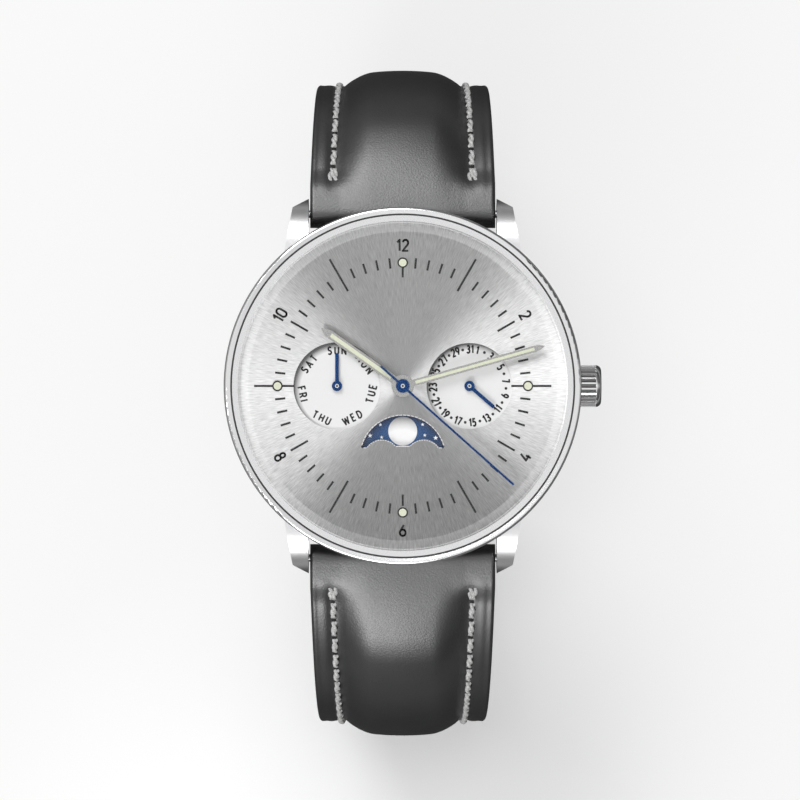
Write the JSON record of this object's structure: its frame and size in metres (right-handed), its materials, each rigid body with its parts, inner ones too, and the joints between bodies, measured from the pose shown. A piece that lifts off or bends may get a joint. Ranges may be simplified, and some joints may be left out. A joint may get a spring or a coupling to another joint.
{
  "type": "wristwatch",
  "caption": "Round dress wristwatch with weekday and date sub-dials, moon phase window and buckled padded leather strap.",
  "frame": {"origin": "centre of the case back's outer face", "axes": "+Z out of the dial, +Y towards twelve o'clock, +X towards the crown"},
  "size_m": [0.0402, 0.0735, 0.0556],
  "materials": {
    "polished_steel": "polished stainless steel",
    "plain_steel": "plain stainless steel",
    "crystal": "clear domed mineral glass",
    "gasket": "black rubber",
    "dial_silver": "silvered, sunray brushed",
    "glow": "luminous paint",
    "hand_steel": "brushed nickel",
    "blued_steel": "blued",
    "moon_blue": "deep blue lacquer",
    "brass": "gilt",
    "movement_plate": "nickel plated",
    "holder_plastic": "moulded",
    "circuit": "lacquered board",
    "copper": "enamelled copper wire",
    "magnet_iron": "soft iron sheet",
    "black_leather": "smooth black calf, satin",
    "strap_lining": "matt nubuck lining"
  },
  "bodies": {
    "root": {"case_middle": "polished_steel", "bezel": "polished_steel", "crystal": "crystal", "crystal_gasket": "gasket", "case_back": "polished_steel", "case_back_gasket": "gasket", "case_back_screws": "plain_steel", "crown_tube": "plain_steel", "dial": "dial_silver", "lume_dots": "glow", "bar_tubes": "plain_steel", "main_plate": "movement_plate", "movement_holder": "holder_plastic", "train_bridge": "movement_plate", "movement_screws": "plain_steel", "battery": "plain_steel", "battery_clamp": "plain_steel", "circuit_board": "circuit", "quartz_resonator": "plain_steel", "coil": "copper", "coil_core": "magnet_iron", "stator": "magnet_iron", "calendar_jumpers": "plain_steel", "upper_strap_leather": "black_leather", "upper_strap_lining": "strap_lining", "lower_strap_leather": "black_leather", "lower_strap_lining": "strap_lining", "buckle_bar": "plain_steel", "fixed_keeper": "black_leather"},
    "seconds": {"fourth_wheel": "brass", "seconds_hand": "blued_steel"},
    "third": {"third_wheel": "brass"},
    "intermediate": {"intermediate_wheel": "brass"},
    "motor_rotor": {"rotor": "brass"},
    "minutes": {"centre_wheel": "brass", "minute_hand": "hand_steel", "minute_hand_lume": "glow"},
    "motion": {"minute_wheel": "brass"},
    "hours": {"hour_wheel": "brass", "hour_hand": "hand_steel", "hour_hand_lume": "glow"},
    "date_drive": {"date_drive_wheel": "brass"},
    "day_drive": {"day_drive_wheel": "brass"},
    "weekday": {"day_star": "brass", "day_hand": "blued_steel"},
    "date": {"date_star": "brass", "date_hand": "blued_steel"},
    "moon": {"moon_disc": "moon_blue"},
    "crown_pulled": {"crown_gasket": "gasket"},
    "crown_turned": {"crown": "polished_steel", "winding_stem": "plain_steel", "sliding_pinion": "plain_steel"},
    "lever": {"setting_lever": "plain_steel"},
    "buckle": {"buckle_frame": "polished_steel"},
    "tongue": {"buckle_tongue": "polished_steel"},
    "keeper": {"free_keeper": "black_leather"},
    "tip_upper_left": {"upper_bar_tip_left": "plain_steel"},
    "tip_upper_right": {"upper_bar_tip_right": "plain_steel"},
    "tip_lower_left": {"lower_bar_tip_left": "plain_steel"},
    "tip_lower_right": {"lower_bar_tip_right": "plain_steel"}
  },
  "joints": [
    {"name": "seconds_turn", "type": "hinge", "parent": "root", "child": "seconds", "pos_m": [0, 0, 0], "axis": [0, 0, -1], "continuous": true},
    {"name": "third_turn", "type": "hinge", "parent": "root", "child": "third", "pos_m": [0.0018, 0.00312, 0], "axis": [0, 0, -1], "continuous": true},
    {"name": "intermediate_turn", "type": "hinge", "parent": "root", "child": "intermediate", "pos_m": [-0.00338, -0.00123, 0], "axis": [0, 0, -1], "continuous": true},
    {"name": "rotor_turn", "type": "hinge", "parent": "root", "child": "motor_rotor", "pos_m": [-0.00568, -0.00284, 0], "axis": [0, 0, -1], "continuous": true},
    {"name": "minute_turn", "type": "hinge", "parent": "root", "child": "minutes", "pos_m": [0, 0, 0], "axis": [0, 0, -1], "continuous": true},
    {"name": "motion_turn", "type": "hinge", "parent": "root", "child": "motion", "pos_m": [0, 0.003, 0], "axis": [0, 0, -1], "continuous": true},
    {"name": "hour_turn", "type": "hinge", "parent": "root", "child": "hours", "pos_m": [0, 0, 0], "axis": [0, 0, -1], "continuous": true},
    {"name": "date_drive_turn", "type": "hinge", "parent": "root", "child": "date_drive", "pos_m": [0.00348, 0.00162, 0], "axis": [0, 0, -1], "continuous": true},
    {"name": "day_drive_turn", "type": "hinge", "parent": "root", "child": "day_drive", "pos_m": [-0.00348, 0.00162, 0], "axis": [0, 0, -1], "continuous": true},
    {"name": "weekday_turn", "type": "hinge", "parent": "root", "child": "weekday", "pos_m": [-0.0069, 0, 0], "axis": [0, 0, -1], "continuous": true},
    {"name": "date_turn", "type": "hinge", "parent": "root", "child": "date", "pos_m": [0.007, 0, 0], "axis": [0, 0, -1], "continuous": true},
    {"name": "moon_turn", "type": "hinge", "parent": "root", "child": "moon", "pos_m": [0, -0.00755, 0], "axis": [0, 0, -1], "continuous": true},
    {"name": "crown_pull", "type": "slide", "parent": "root", "child": "crown_pulled", "axis": [1, 0, 0], "range_m": [0, 0.0009]},
    {"name": "crown_turn", "type": "hinge", "parent": "crown_pulled", "child": "crown_turned", "pos_m": [0.01895, 0, 0.0031], "axis": [1, 0, 0], "continuous": true},
    {"name": "lever_swing", "type": "hinge", "parent": "root", "child": "lever", "pos_m": [0.01026, 0.0035, 0.0031], "axis": [0, 0, 1], "range_deg": [0, 17.3]},
    {"name": "buckle_hinge", "type": "hinge", "parent": "root", "child": "buckle", "pos_m": [0, -0.0035, -0.0413], "axis": [1, 0, 0], "range_deg": [0, 6]},
    {"name": "tongue_hinge", "type": "hinge", "parent": "buckle", "child": "tongue", "pos_m": [0, -0.0035, -0.0413], "axis": [1, 0, 0], "range_deg": [0, 12]},
    {"name": "keeper_slide", "type": "slide", "parent": "root", "child": "keeper", "axis": [0, 1, 0], "range_m": [-0.0026, 0.0005]},
    {"name": "tip_upper_left_press", "type": "slide", "parent": "root", "child": "tip_upper_left", "axis": [1, 0, 0], "range_m": [0, 0.0008], "stiffness_N_per_m": 500, "springref_m": -0.0005},
    {"name": "tip_upper_right_press", "type": "slide", "parent": "root", "child": "tip_upper_right", "axis": [-1, 0, 0], "range_m": [0, 0.0008], "stiffness_N_per_m": 500, "springref_m": -0.0005},
    {"name": "tip_lower_left_press", "type": "slide", "parent": "root", "child": "tip_lower_left", "axis": [1, 0, 0], "range_m": [0, 0.0008], "stiffness_N_per_m": 500, "springref_m": -0.0005},
    {"name": "tip_lower_right_press", "type": "slide", "parent": "root", "child": "tip_lower_right", "axis": [-1, 0, 0], "range_m": [0, 0.0008], "stiffness_N_per_m": 500, "springref_m": -0.0005}
  ],
  "couplings": [
    {"joint": "third_turn", "follows": "seconds_turn", "ratio": -0.13333},
    {"joint": "intermediate_turn", "follows": "seconds_turn", "ratio": -5},
    {"joint": "rotor_turn", "follows": "seconds_turn", "ratio": 30},
    {"joint": "minute_turn", "follows": "seconds_turn", "ratio": 0.016667},
    {"joint": "motion_turn", "follows": "seconds_turn", "ratio": -0.0055556},
    {"joint": "hour_turn", "follows": "seconds_turn", "ratio": 0.0013889},
    {"joint": "date_drive_turn", "follows": "seconds_turn", "ratio": -0.00069444},
    {"joint": "day_drive_turn", "follows": "seconds_turn", "ratio": -0.00069444},
    {"joint": "lever_swing", "follows": "crown_pull", "rad_per_m": 329.1}
  ]
}
